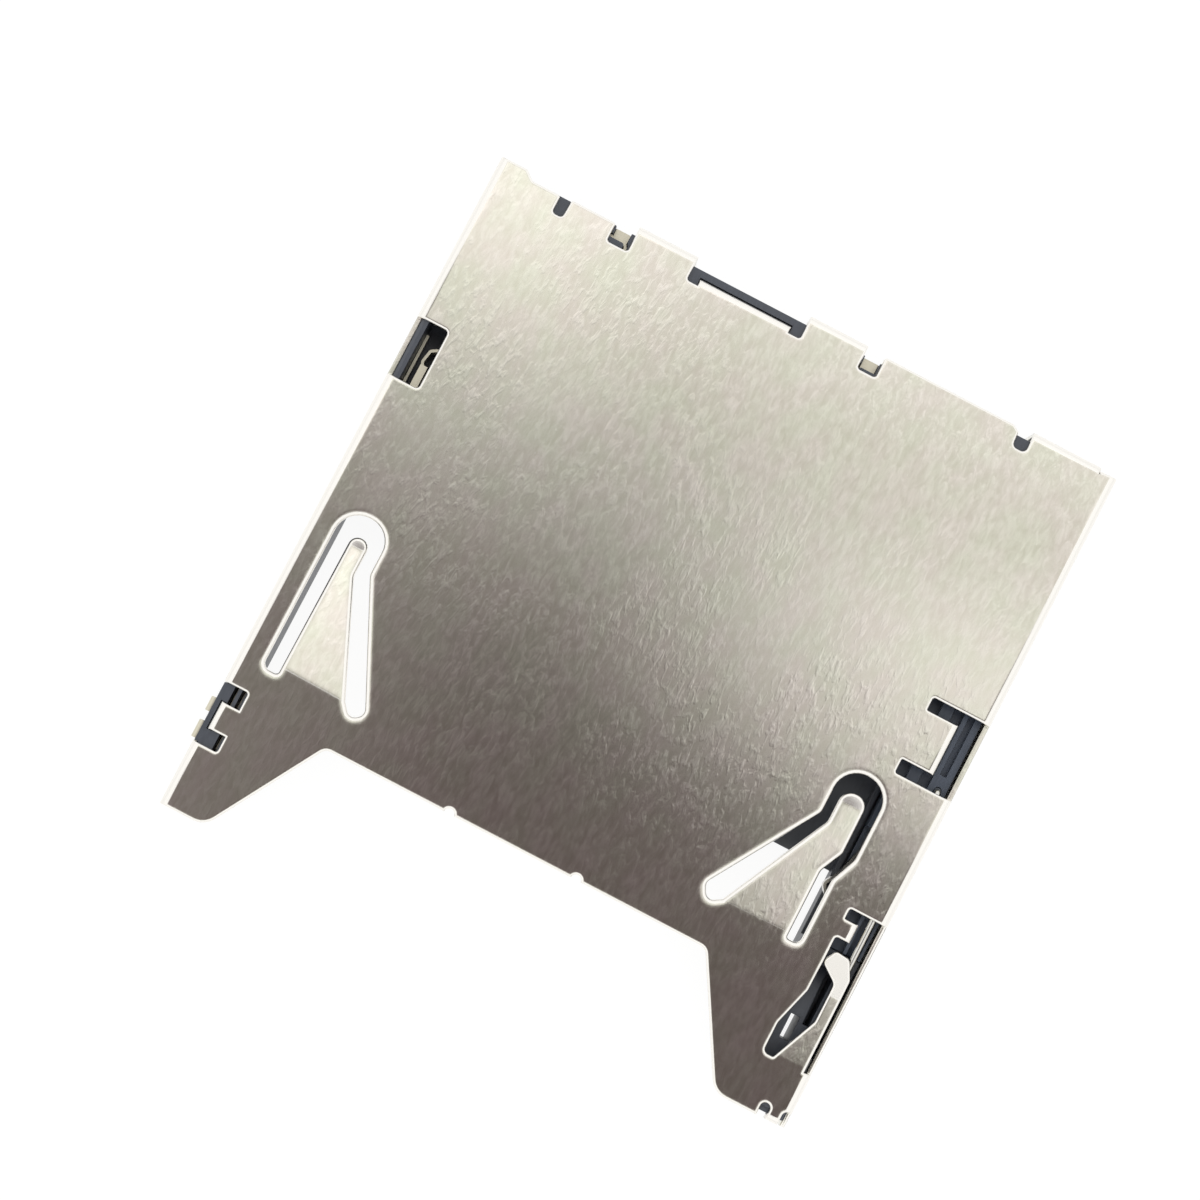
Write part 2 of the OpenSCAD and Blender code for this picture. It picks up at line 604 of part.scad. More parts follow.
module insulator_housing() color("#1d1f24") {
    difference() {
        union() {
            left_arm();
            card_floor();
            slider_channel();
            rear_block();
            front_block();
            spring_boss();
            latches();
        }
        top_bevels();
        card_lead_ins();
        front_hollows();
        for (i = [0:8]) contact_cuts(card_x + contact_at[i], crest_shift[i]);
        lock_switch_cuts();
        card_switch_cuts();
        // Slot for the recessed leg of the cover
        box([card_x - 3.99 - fit, yr - 0.75 - sheet_t - fit, 1.2],
            [card_x + 0.21 + fit, yr - 0.75 + fit, far]);
        // Slot for the leg of the left front
        box([xl + 0.29 - fit, left_leg_y[0] - fit, floor_t + 0.8],
            [xl + 0.29 + sheet_t + fit, left_leg_y[1] + fit, far]);
    }
}

// Contacts and switches

module signal_contact(i) color("#c9a94e") {
    x = card_x + contact_at[i];
    shift = crest_shift[i];
    crest = stop_y - crest_y - shift;
    intersection() {
        along_x(x - contact_w, x + contact_w) ribbon(contact_path(shift), contact_t, 0.15);
        layer(-1, far) polygon([
            [x - tail_w / 2, far], [x - tail_w / 2, stop_y + 0.1], [x - contact_w / 2, stop_y - 0.1],
            [x - contact_w / 2, stop_y - 1.2], [x - contact_w * 0.36, crest],
            [x - contact_w * 0.28, crest - 2], [x + contact_w * 0.28, crest - 2],
            [x + contact_w * 0.36, crest], [x + contact_w / 2, stop_y - 1.2],
            [x + contact_w / 2, stop_y - 0.1], [x + tail_w / 2, stop_y + 0.1], [x + tail_w / 2, far]]);
    }
}

// Upright leaf along a path seen from above
module along_z_path(path, t, z0, z1, r = 0.2) {
    layer(z0, z1) ribbon(path, t, r);
}

// Seen from above: the moving leaf of the card-detect switch, from its tail to its tip
function detect_path() =
    [[detect_tail_x - tail_w / 2, rear_y - 0.42], [detect_tail_x + 1, rear_y - 0.42],
     [detect_tail_x + 1, stop_y + 0.1], [detect_tail_x - 0.3, stop_y],
     [detect_x + 0.5, stop_y - 0.9], [detect_x, stop_y - 1.1], [detect_x - 0.5, stop_y - 0.85]];

function fixed_path() =
    [[detect_x - 0.6, stop_y + 0.22], [detect_tail_x + 0.3, stop_y + 0.22],
     [fixed_tail_x - 0.7, stop_y + 0.22], [fixed_tail_x - 0.35, rear_y - 0.42],
     [fixed_tail_x + tail_w / 2, rear_y - 0.42]];

// Lug bent back over the rear wall, that holds a switch strip down
lug_z = floor_t + 0.9 + leaf_h - leaf_t;
function lug_x(x) = [x - 0.32, x + 0.32];
module rear_lug(x) {
    box([lug_x(x)[0], rear_y - 0.42 - leaf_t / 2, lug_z], [lug_x(x)[1], rear_y - 0.02, lug_z + leaf_t]);
}

// Upright part and foot of a switch's solder tail in the rear wall
module rear_tail(x, z1) {
    along_x(x - tail_w / 2, x + tail_w / 2)
        ribbon([[rear_y - 0.42, z1], [rear_y - 0.42, leaf_t / 2], [rear_y - 0.02, leaf_t / 2]], leaf_t, 0.08);
}

module card_switch_moving() color("#c9b98a") {
    along_z_path(detect_path(), leaf_t, floor_t + 0.9, floor_t + 0.9 + leaf_h);
    rear_tail(detect_tail_x, lid_z - 0.3);
    rear_lug(detect_lug_x);
}

module card_switch_fixed() color("#c9b98a") {
    along_z_path(fixed_path(), leaf_t, floor_t + 0.3, floor_t + leaf_h);
    // Taller pad that the moving leaf meets
    pad = fixed_path()[0];
    along_z_path([pad, pad + [1.4, 0]], leaf_t, floor_t + 0.3, floor_t + 0.7 + leaf_h);
    rear_tail(fixed_tail_x, lug_z + leaf_t);
    rear_lug(fixed_tail_x);
}

// Solder tail at the left side: out of the arm, down to the board and back under it
module side_tail(x, y) {
    along_y(y[0] + 0.02, y[1] - 0.02)
        ribbon([[x, floor_t + 0.8], [x, floor_t + 0.18], [tail_out, floor_t + 0.18],
                [tail_out, leaf_t / 2], [tail_out + 0.42, leaf_t / 2]], leaf_t, 0.12);
}

module lock_switch_moving() color("#cfc6a6") {
    z0 = floor_t + 0.3;
    free_x = guide_l - 0.3;
    // Leaf with its nose curled round into the card's way
    along_z_path([[lock_move_x, tail_move_y[0] + 0.02], [lock_move_x, floor_y - 0.3], [free_x, lock_y - 1.9],
                  [free_x, lock_y - 0.75], [free_x - 0.2, lock_y - 0.3], [free_x - 0.1, lock_y + 0.22],
                  [free_x + 0.2, lock_y + 0.4], [guide_l + 0.3, lock_y + 0.05],
                  [guide_l + 0.1, lock_y - 0.35]], leaf_t, z0, z0 + leaf_h, 0.15);
    // Pad on the leaf's top
    layer(z0 + leaf_h - 0.1, z0 + leaf_h + 0.6)
        translate([free_x - 0.16, lock_y - 2.4]) square([0.32, 1.9]);
    side_tail(lock_move_x, tail_move_y);
}

module lock_switch_fixed() color("#cfc6a6") {
    z0 = floor_t + 0.3;
    along_z_path([[lock_fixed_x, tail_fixed_y[0] + 0.02], [lock_fixed_x, lock_y - 1.7]], leaf_t,
                 z0, z0 + leaf_h - 0.1);
    // Lower finger that the moving leaf meets
    along_z_path([[lock_fixed_x, lock_y - 1.8], [lock_fixed_x, lock_y + 0.8]], leaf_t, z0, z0 + 0.35);
    side_tail(lock_fixed_x, tail_fixed_y);
}

// Ejector

// Place of the rod's pin in the slider when the slider has moved by s
function pin_at(s) = [pin_x - cam_throw * s / travel, pin_y - s];

// Round slot for the pin between two places of the cam block
module lane(a, b) {
    d = unit(b - a);
    n = left_of(d) * groove_w / 2;
    polygon([a + n, a - n, b - n, b + n]);
    translate(a) circle(d = groove_w);
    translate(b) circle(d = groove_w);
}

// Heart-shaped cam. The pin drops a step at the lock corner and a step at the end of the
// return lane, whose floor climbs, so it can only go round one way.
module cam_groove() {
    deep = pin_at(travel);
    lock = [deep[0] + 0.3, deep[1] + 0.62];
    turn = [deep[0] + 0.42, deep[1] + 0.1];
    back = [slide_r - 0.22, lock[1] + 0.35];
    near = [slide_r - 0.22, pin_y - 1.15];
    // Slanted push-in lane
    layer(cam_top - groove_d, far) lane(pin_at(-0.02), pin_at(travel + 0.05));
    // Run to the lock corner, one step down
    layer(cam_top - groove_d - cam_step, far) lane(pin_at(travel + 0.05), lock);
    // Lock corner and way out of it, another step down
    layer(cam_top - groove_d - 2 * cam_step, far) {
        lane(turn, lock);
        lane(turn, back);
    }
    // Return lane, climbing to one step above the start
    intersection() {
        layer(0, far) {
            lane(back, near);
            lane(near, pin_at(0.1));
        }
        along_x(xr - 2, xr)
            polygon([[back[1] - 1, cam_top - groove_d - 2 * cam_step],
                     [back[1], cam_top - groove_d - 2 * cam_step],
                     [near[1], cam_top - groove_d + cam_step], [pin_y + 1, cam_top - groove_d + cam_step],
                     [pin_y + 1, far], [back[1] - 1, far]]);
    }
}

module slider_bar() {
    rail_l = slide_r - rail_w;
    cam_l = slide_r - cam_w;
    // Bar with its rear end
    box([slide_l, slide_y0, slide_z], [slide_r, slide_y1, slide_top]);
    // Rib beside the guide legs
    box([slide_r - 1.78, slide_y0 + 1.4, slide_top - 0.1], [slide_r - cam_w - fit, slide_y1, cam_top]);
    // Cam block and the rail behind it
    box([cam_l, slide_y0 + 2, slide_top - 0.1], [slide_r, pin_y - 0.1, cam_top]);
    box([rail_l, pin_y - 0.2, slide_top - 0.1], [slide_r, slide_y1, cam_top]);
    // Rails beside the rod at the front
    box([rail_l, slide_y0, slide_top - 0.1], [rail_l + 0.16, slide_y0 + 2.1, cam_top]);
    box([slide_r - 0.14, slide_y0, slide_top - 0.1], [slide_r, slide_y0 + 2.1, cam_top]);
}

// Arm that the card's cut corner pushes
module card_hook() {
    layer(floor_t + 0.6, lid_z - 0.1)
        outline([[slide_l + 0.5, slide_y1 - 3.4, 0.2], [guide_r, slide_y1 - 2.8, 0.1],
                 [guide_r - hook_w, slide_y1 - 0.8, 0.15], [guide_r - hook_w, slide_y1, 0.15],
                 [slide_l + 0.5, slide_y1]]);
}

module eject_slider() color("#2b2d33") {
    half = spring_d / 2 + 0.05;
    difference() {
        union() {
            slider_bar();
            card_hook();
        }
        cam_groove();
        // Trough for the spring, open below
        box([spring_x - half, trough_y, -1], [spring_x + half, far, spring_z + half]);
        // Slot along the top of the rail
        box([xr - 0.86, pin_y + 0.65, cam_top - 0.35], [xr - 0.58, slide_y1 - 0.6, far]);
        // Slot for the leaf that locks the card
        box([slide_l - 1, lock_leaf_y - 0.3, slide_z + 0.5],
            [slide_l + 0.3, lock_leaf_y + lock_leaf_l + 0.02, far]);
    }
}

module card_lock_spring() color("#c4c0b4") {
    x = slide_l + 0.3 - leaf_t / 2;
    along_z_path([[x, lock_leaf_y + lock_leaf_l], [x, lock_leaf_y + 2.5],
                  [guide_r + 0.26, lock_leaf_y + 1.3], [guide_r - 0.14, lock_leaf_y + 0.6],
                  [guide_r + 0.3, lock_leaf_y]],
                 leaf_t, slide_z + 0.62, slide_z + 1.2);
}

// Spring: angle of each ring from the coil's start, closed turns at both ends
spring_y0 = trough_y + 0.02;
spring_y1 = stop_y - 0.02;
steps = 12;
sides = 6;
function turn_y(t) =
    let (dead = wire_d * 1.12, free = turns - 2.6, run = spring_y1 - spring_y0 - wire_d,
         pitch = (run - 2.6 * dead) / free)
    spring_y0 + wire_d / 2 + dead * min(t, 1.3) + pitch * max(0, min(t - 1.3, free))
        + dead * max(0, t - 1.3 - free);

module eject_spring() color("#d2d0c8") {
    r = (spring_d - wire_d) / 2;
    rings = turns * steps;
    points = [for (i = [0:rings], k = [0:sides - 1])
        let (a = 360 * i / steps, b = 360 * k / sides,
             out = r + wire_d / 2 * cos(b))
        [spring_x + out * cos(a), turn_y(i / steps) + wire_d / 2 * sin(b), spring_z + out * sin(a)]];
    faces = concat(
        [[for (k = [0:sides - 1]) k]],
        [for (i = [0:rings - 1], k = [0:sides - 1])
            let (n = (k + 1) % sides)
            [i * sides + k, (i + 1) * sides + k, (i + 1) * sides + n, i * sides + n]],
        [[for (k = [sides - 1:-1:0]) rings * sides + k]]);
    polyhedron(points, faces);
}

// Bend of the rod's wire: quarter turn from +Y down to -Z at a place
module wire_bend(at, turn) {
    r = rod_d * 0.75;
    translate(at) rotate([0, 0, turn]) translate([0, -r, -r]) rotate([90, 0, 90])
        rotate_extrude(angle = 90) translate([r, 0]) circle(d = rod_d);
}

module cam_rod() color("#dcdad2") {
    r = rod_d * 0.75;
    join = 0.02;                        // how far the straight lengths run into the bends
    straight_d = rod_d - 0.01;
    run = norm([pin_x - pivot[0], rod_l]);
    aim = atan2(pivot[0] - pin_x, rod_l);
    translate([pivot[0], pivot[1], 0]) rotate([0, 0, aim]) {
        // Run along the slider
        translate([0, r - join, rod_z]) rotate([-90, 0, 0])
            cylinder(h = run - 2 * r + 2 * join, d = straight_d);
        wire_bend([0, run, rod_z], 0);
        wire_bend([0, 0, rod_z], 180);
        // Leg in the pivot hole
        translate([0, 0, channel_t + 0.1])
            cylinder(h = rod_z - r - channel_t - 0.1 + join, d = straight_d);
        // Pin in the cam groove
        translate([0, run, cam_top - groove_d + 0.06])
            cylinder(h = rod_z - r - cam_top + groove_d - 0.06 + join, d = pin_d);
    }
}

shell_cover();
insulator_housing();
for (i = [0:8]) signal_contact(i);
card_switch_moving();
card_switch_fixed();
lock_switch_moving();
lock_switch_fixed();
eject_slider();
card_lock_spring();
eject_spring();
cam_rod();
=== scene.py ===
import math

import bmesh
import bpy
from mathutils import Matrix, Vector


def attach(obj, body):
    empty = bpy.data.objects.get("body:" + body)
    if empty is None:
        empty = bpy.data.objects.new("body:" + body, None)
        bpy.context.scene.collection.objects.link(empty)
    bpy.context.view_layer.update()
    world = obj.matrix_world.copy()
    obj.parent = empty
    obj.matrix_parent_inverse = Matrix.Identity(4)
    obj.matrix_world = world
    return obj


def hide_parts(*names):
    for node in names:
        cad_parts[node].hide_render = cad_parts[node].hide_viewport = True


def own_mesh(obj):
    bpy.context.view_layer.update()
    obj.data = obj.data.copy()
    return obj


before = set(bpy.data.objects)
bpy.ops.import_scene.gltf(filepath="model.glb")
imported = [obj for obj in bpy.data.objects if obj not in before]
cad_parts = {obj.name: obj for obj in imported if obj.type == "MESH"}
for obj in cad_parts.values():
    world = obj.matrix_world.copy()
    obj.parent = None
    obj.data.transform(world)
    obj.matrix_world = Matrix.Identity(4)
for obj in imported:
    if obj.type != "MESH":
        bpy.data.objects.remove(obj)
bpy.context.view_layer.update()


# Insulator housing
# One moulding of black liquid-crystal polymer with short glass fibre. It carries every contact,
# and its walls, slots and latches have the small radii that a mould leaves.

SAME_CORNER = 1e-6                # corners of a CAD mesh nearer than this are one, in metres
SAME_FLAT = math.radians(0.6)     # its faces that turn by less than this are one
OUTER_CORNER = math.radians(50)   # corners that turn by more than this are rounded
SMOOTH_TURN = math.radians(40)    # faces that turn by less than this are shaded as one
MOULD_RADIUS = 0.00003            # radius that the mould leaves, in metres
ARM_INNER = -0.0129               # the left arm with its switch slots lies left of this x, in metres


def pick(piece):
    """Leave only this piece selected and active."""
    bpy.ops.object.select_all(action="DESELECT")
    piece.select_set(True)
    bpy.context.view_layer.objects.active = piece


def merged_copy(node, name):
    """A copy of a CAD node's mesh with its loose triangles joined into whole faces."""
    piece = bpy.data.objects.new(name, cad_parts[node].data.copy())
    bpy.context.scene.collection.objects.link(piece)
    pick(piece)
    bpy.ops.mesh.customdata_custom_splitnormals_clear()
    bpy.ops.object.mode_set(mode="EDIT")
    bpy.ops.mesh.select_all(action="SELECT")
    bpy.ops.mesh.remove_doubles(threshold=SAME_CORNER)
    bpy.ops.mesh.dissolve_limited(angle_limit=SAME_FLAT)
    bpy.ops.object.mode_set(mode="OBJECT")
    return piece


def round_edges(piece, width, segments, keep=lambda edge: True):
    """Round a piece's outer corners, or those of them that a test keeps."""
    pick(piece)
    bpy.ops.object.mode_set(mode="EDIT")
    bpy.ops.mesh.select_all(action="DESELECT")
    mesh = bmesh.from_edit_mesh(piece.data)
    for edge in mesh.edges:
        outer = edge.is_manifold and edge.is_convex
        edge.select = outer and edge.calc_face_angle() > OUTER_CORNER and keep(edge)
    bmesh.update_edit_mesh(piece.data)
    bpy.ops.mesh.bevel(offset=width, segments=segments, affect="EDGES", clamp_overlap=False,
                       loop_slide=False)
    bpy.ops.object.mode_set(mode="OBJECT")


def shade(piece):
    """Smooth the roundings and keep the flat faces flat."""
    pick(piece)
    bpy.ops.object.shade_smooth_by_angle(angle=SMOOTH_TURN)
    bpy.ops.object.modifier_add(type="WEIGHTED_NORMAL")
    weighting = piece.modifiers[-1]
    weighting.keep_sharp = True
    bpy.ops.object.modifier_apply(modifier=weighting.name)


def linear(code):
    """Linear colour of an sRGB hex value."""
    parts = [int(code[i:i + 2], 16) / 255 for i in (1, 3, 5)]
    return [p / 12.92 if p <= 0.04045 else ((p + 0.055) / 1.055) ** 2.4 for p in parts] + [1]


def pattern_scale(*sizes):
    """Scale of a pattern whose marks have these sizes along x, y and z, in millimetres."""
    return [1000 / size for size in sizes]


def add_node(tree, kind, settings=None, links=None):
    """Add one node. settings names sockets or properties, links names (node, output) sources."""
    node = tree.nodes.new(kind)
    for key, value in (settings or {}).items():
        if isinstance(key, str) and hasattr(node, key):
            setattr(node, key, value)
        else:
            node.inputs[key].default_value = value
    for key, (source, output) in (links or {}).items():
        tree.links.new(source.outputs[output], node.inputs[key])
    return node


def new_material(name, settings):
    """A material, its tree and its surface shader, set to even values that patterns may vary."""
    material = bpy.data.materials.new(name)
    material.use_nodes = True
    shader = material.node_tree.nodes["Principled BSDF"]
    for key, value in settings.items():
        shader.inputs[key].default_value = value
    return material, material.node_tree, shader


def finish_with(piece, material):
    """Give a piece this one material."""
    piece.data.materials.clear()
    piece.data.materials.append(material)


# Moulded liquid-crystal polymer, glass filled: soft black with a blue cast, greyed by the fibre
# at its skin, with a soft sheen and faint flow streaks.
moulded_lcp, tree, shader = new_material("moulded_lcp_black", {
    "Base Color": linear("#3b3f47"), "Roughness": 0.42, "IOR": 1.65})
place = add_node(tree, "ShaderNodeTexCoord")
# Streaks: 0.11 mm wide and 0.4 mm long, coarser than single fibres so that they show
streak_map = add_node(tree, "ShaderNodeMapping", {"Scale": pattern_scale(1 / 9, 0.4, 1 / 6)},
                      {"Vector": (place, "Object")})
streaks = add_node(tree, "ShaderNodeTexNoise", {"Scale": 1.0, "Detail": 4.0},
                   {"Vector": (streak_map, "Vector")})
tone = add_node(tree, "ShaderNodeValToRGB", links={"Fac": (streaks, "Fac")})
tone.color_ramp.elements[0].color = linear("#33373f")
tone.color_ramp.elements[1].color = linear("#474c56")
tree.links.new(tone.outputs["Color"], shader.inputs["Base Color"])
gloss = add_node(tree, "ShaderNodeMapRange", {"To Min": 0.34, "To Max": 0.52}, {"Value": (streaks, "Fac")})
tree.links.new(gloss.outputs["Result"], shader.inputs["Roughness"])
relief = add_node(tree, "ShaderNodeBump", {"Strength": 0.25, "Distance": 0.000006},
                  {"Height": (streaks, "Fac")})
tree.links.new(relief.outputs["Normal"], shader.inputs["Normal"])

housing = merged_copy("insulator_housing", "moulded_housing")
# The left arm's slots lie too close together for roundings between them, so its edges stay sharp
round_edges(housing, MOULD_RADIUS, 2, lambda edge: min(v.co.x for v in edge.verts) > ARM_INNER)
shade(housing)
finish_with(housing, moulded_lcp)
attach(housing, "socket")
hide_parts("insulator_housing")


# Signal contacts
# Nine strips of phosphor bronze, stamped, bent and pressed into the housing's windows.
# The whole strip is gold plated, and keeps fine lines from the rolling of the bronze.

# Gold plate on phosphor bronze: warm yellow metal, glossy in fine lines along the strip.
gold_plate, tree, shader = new_material("gold_plated_bronze", {
    "Base Color": linear("#e0b565"), "Metallic": 1.0, "Roughness": 0.26})
place = add_node(tree, "ShaderNodeTexCoord")
# Rolling lines: 0.05 mm wide, coarser than the real ones so that they show
rolled = add_node(tree, "ShaderNodeMapping", {"Scale": pattern_scale(0.05, 2 / 3, 0.05)},
                  {"Vector": (place, "Object")})
lines = add_node(tree, "ShaderNodeTexNoise", {"Scale": 1.0, "Detail": 3.0},
                 {"Vector": (rolled, "Vector")})
gloss = add_node(tree, "ShaderNodeMapRange", {"To Min": 0.18, "To Max": 0.38}, {"Value": (lines, "Fac")})
tree.links.new(gloss.outputs["Result"], shader.inputs["Roughness"])
relief = add_node(tree, "ShaderNodeBump", {"Strength": 0.2, "Distance": 0.000003},
                  {"Height": (lines, "Fac")})
tree.links.new(relief.outputs["Normal"], shader.inputs["Normal"])
for number in range(1, 10):
    finish_with(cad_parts[f"signal_contact_{number}"], gold_plate)


# Card and write-protect switches
# Four strips of tinned spring alloy. Two leaves move when the card or its lock tab pushes them,
# and the other two wait for them, each with a solder tail of its own.

# Matt tin on spring alloy: pale warm metal with soft, cloudy reflections.
tin_plate, tree, shader = new_material("tinned_spring_alloy", {
    "Base Color": linear("#d9d3c0"), "Metallic": 1.0, "Roughness": 0.34})
place = add_node(tree, "ShaderNodeTexCoord")
# Clouds: about 0.17 mm across, coarser than grains of tin so that they show
cloud_map = add_node(tree, "ShaderNodeMapping", {"Scale": pattern_scale(1 / 6, 1 / 6, 1 / 6)},
                     {"Vector": (place, "Object")})
clouds = add_node(tree, "ShaderNodeTexNoise", {"Scale": 1.0, "Detail": 5.0},
                  {"Vector": (cloud_map, "Vector")})
gloss = add_node(tree, "ShaderNodeMapRange", {"To Min": 0.26, "To Max": 0.46}, {"Value": (clouds, "Fac")})
tree.links.new(gloss.outputs["Result"], shader.inputs["Roughness"])
relief = add_node(tree, "ShaderNodeBump", {"Strength": 0.2, "Distance": 0.000003},
                  {"Height": (clouds, "Fac")})
tree.links.new(relief.outputs["Normal"], shader.inputs["Normal"])
for name in ("card_switch_moving", "card_switch_fixed", "lock_switch_moving", "lock_switch_fixed"):
    finish_with(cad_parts[name], tin_plate)


# Ejector spring
# A helix of hard steel wire, 20 turns with closed ends. It sits in the slider's trough against
# the rear wall, and in use is pressed shorter as the slider goes back; here it keeps its rest length.

# Drawn spring wire: bright steel, its gloss broken up by the drawing.
spring_wire, tree, shader = new_material("drawn_spring_wire", {
    "Base Color": linear("#cfccc4"), "Metallic": 1.0, "Roughness": 0.24})
place = add_node(tree, "ShaderNodeTexCoord")
# Drawing marks: about half the wire's width, coarser than the real ones so that they show
draw_map = add_node(tree, "ShaderNodeMapping", {"Scale": pattern_scale(1 / 14, 1 / 14, 1 / 14)},
                    {"Vector": (place, "Object")})
draw_marks = add_node(tree, "ShaderNodeTexNoise", {"Scale": 1.0, "Detail": 3.0},
                      {"Vector": (draw_map, "Vector")})
gloss = add_node(tree, "ShaderNodeMapRange", {"To Min": 0.18, "To Max": 0.32},
                 {"Value": (draw_marks, "Fac")})
tree.links.new(gloss.outputs["Result"], shader.inputs["Roughness"])

spring = merged_copy("eject_spring", "helical_spring")
pick(spring)
bpy.ops.object.shade_smooth()
finish_with(spring, spring_wire)
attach(spring, "socket")
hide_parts("eject_spring")
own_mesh(spring)


# Ejector slider
# A moulded bar beside the card. The heart-shaped groove in its top catches the rod's pin, and
# its hook is pushed by the card's cut corner.

# Moulded nylon, blue-grey: a little lighter and glossier than the housing.
moulded_nylon, tree, shader = new_material("moulded_nylon_grey", {
    "Base Color": linear("#4a525f"), "Roughness": 0.36, "IOR": 1.53})
place = add_node(tree, "ShaderNodeTexCoord")
# Flow marks: 0.5 mm long, the way the melt ran along the bar
flow_map = add_node(tree, "ShaderNodeMapping", {"Scale": pattern_scale(1 / 7, 0.5, 1 / 7)},
                    {"Vector": (place, "Object")})
flow = add_node(tree, "ShaderNodeTexNoise", {"Scale": 1.0, "Detail": 4.0},
                {"Vector": (flow_map, "Vector")})
tone = add_node(tree, "ShaderNodeValToRGB", links={"Fac": (flow, "Fac")})
tone.color_ramp.elements[0].color = linear("#434a57")
tone.color_ramp.elements[1].color = linear("#565f6e")
tree.links.new(tone.outputs["Color"], shader.inputs["Base Color"])
gloss = add_node(tree, "ShaderNodeMapRange", {"To Min": 0.26, "To Max": 0.44}, {"Value": (flow, "Fac")})
tree.links.new(gloss.outputs["Result"], shader.inputs["Roughness"])
relief = add_node(tree, "ShaderNodeBump", {"Strength": 0.2, "Distance": 0.000005},
                  {"Height": (flow, "Fac")})
tree.links.new(relief.outputs["Normal"], shader.inputs["Normal"])

slider = merged_copy("eject_slider", "moulded_slider")
round_edges(slider, MOULD_RADIUS, 2)
shade(slider)
finish_with(slider, moulded_nylon)
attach(slider, "slider")
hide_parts("eject_slider")


# Card lock leaf
# A short leaf of spring steel in the slider's side, bent so that it drops into the card's notch
# and holds the card to the slider. It has the finish of the spring's wire.

finish_with(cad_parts["card_lock_spring"], spring_wire)


# Cam rod
# Hard steel wire with both ends bent down: one turns in the housing's hole, the other follows
# the slider's groove.

# Polished hard wire: the brightest metal of the part.
polished_wire, tree, shader = new_material("polished_hard_wire", {
    "Base Color": linear("#dedcd6"), "Metallic": 1.0, "Roughness": 0.16})
place = add_node(tree, "ShaderNodeTexCoord")
# Polishing marks: 0.06 mm wide and 0.3 mm long, coarser than the real ones so that they show
polish_map = add_node(tree, "ShaderNodeMapping", {"Scale": pattern_scale(1 / 16, 1 / 3, 1 / 16)},
                      {"Vector": (place, "Object")})
polish = add_node(tree, "ShaderNodeTexNoise", {"Scale": 1.0, "Detail": 3.0},
                  {"Vector": (polish_map, "Vector")})
gloss = add_node(tree, "ShaderNodeMapRange", {"To Min": 0.1, "To Max": 0.24}, {"Value": (polish, "Fac")})
tree.links.new(gloss.outputs["Result"], shader.inputs["Roughness"])
finish_with(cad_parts["cam_rod"], polished_wire)


# Shell cover
# One blank of stainless sheet, 0.2 mm thick, stamped and folded down on three sides. The punch
# leaves a smooth roll along every upper cut edge, widest round the card-press tongues, and the mill
# leaves a fine grain on the flat. The rolls, folds and the rod tongue's tip are painted whiter as a
# highlight.

DIE_ROLL = 0.00009            # width of the rolled edge on the punch side, in metres
SLOT_ROLL = 0.00015           # the same round the slots of the two card-press tongues
SHEET_TOP = 0.0021            # height above which the cover's upper edges lie, in metres
# Near left and far right corner of the box round each tongue's slot, x and y in metres
SLOTS = (((-0.01324, -0.00848), (-0.00843, -0.00072)), ((0.00675, -0.00832), (0.0119, -0.00064)))
# The same of the small arc at the rear right corner, which lies on the top face
CORNER_ARC = ((0.01346, 0.0147), (0.01356, 0.0148))
TOP_FACE = 0.00309            # height above which only the top face's corners lie, in metres
TONGUE_AREA = 9e-7            # the flat of a tongue is larger than this, in square metres
TONGUE_SIDE = 0.0135          # and its middle is nearer than this to the centre line, in metres
ROD_TONGUE_LEFT = 0.0125      # the rod's tongue lies right of this x, in metres
# The next five are least parts of a face's normal, where 1 is straight along an axis
TOP_SIDE = 0.8                # its z on top of the sheet
TONGUE_FLAT = 0.98            # its z on the flat of a tongue, which slopes a little
SHEET_FLAT = 0.9999           # its largest part on a flat of the sheet, a wall or a cut face
TURNED_UP = 0.03              # its z on a rounding that shows from above
TIP_SLOPE = 0.07              # its y on the bent tip of the rod's tongue
# Middle and half length of the stretch that the die coined, across and along the card's way
COINED_ACROSS = (-0.00067, 0.0129)
COINED_ALONG = (-0.0046, 0.0043)
EDGE_DIP = 0.00012            # how far from a cut edge the flat dips, in metres
SLOT_DIP = 0.0003             # the same in the coined stretch


def is_upper_rim(edge):
    """An edge where the top of the sheet meets a cut face."""
    return (all(v.co.z > SHEET_TOP for v in edge.verts)
            and any(f.normal.z > TOP_SIDE for f in edge.link_faces))


def is_inside(point, near, far):
    """A point between two corners, seen from above."""
    return all(near[i] < point[i] < far[i] for i in (0, 1))


def is_slot_rim(edge):
    """An upper rim of a card-press tongue's slot."""
    return is_upper_rim(edge) and any(
        all(is_inside(v.co, near, far) for v in edge.verts) for near, far in SLOTS)


def is_flat(face):
    """A flat of the sheet or of a tongue, whose shade must not follow its rounded rim."""
    large = face.normal.z > TONGUE_FLAT and face.calc_area() > TONGUE_AREA
    tongue = large and abs(face.calc_center_median().x) < TONGUE_SIDE
    return tongue or max(abs(part) for part in face.normal) > SHEET_FLAT


def is_burnished_or_highlit(face):
    """A rounded upper rim or fold, given whiter steel as burnish and painted highlight, or the bent tip of
    the rod's tongue, given it as a painted highlight only.
    """
    middle = face.calc_center_median()
    # The rod tongue's tip is not burnished: it gets the whiter steel as a painted highlight
    rod_tip = face.normal.y > TIP_SLOPE and middle.x > ROD_TONGUE_LEFT
    return middle.z > SHEET_TOP and face.normal.z > TURNED_UP and (rod_tip or not is_flat(face))


def choose(piece, kind, wanted):
    """Select what a test wants of a piece in edit mode, where kind is FACE or VERT."""
    bpy.ops.mesh.select_mode(type=kind)
    bpy.ops.mesh.select_all(action="DESELECT")
    mesh = bmesh.from_edit_mesh(piece.data)
    for item in mesh.faces if kind == "FACE" else mesh.verts:
        item.select = wanted(item)
    mesh.select_flush_mode()
    bmesh.update_edit_mesh(piece.data)


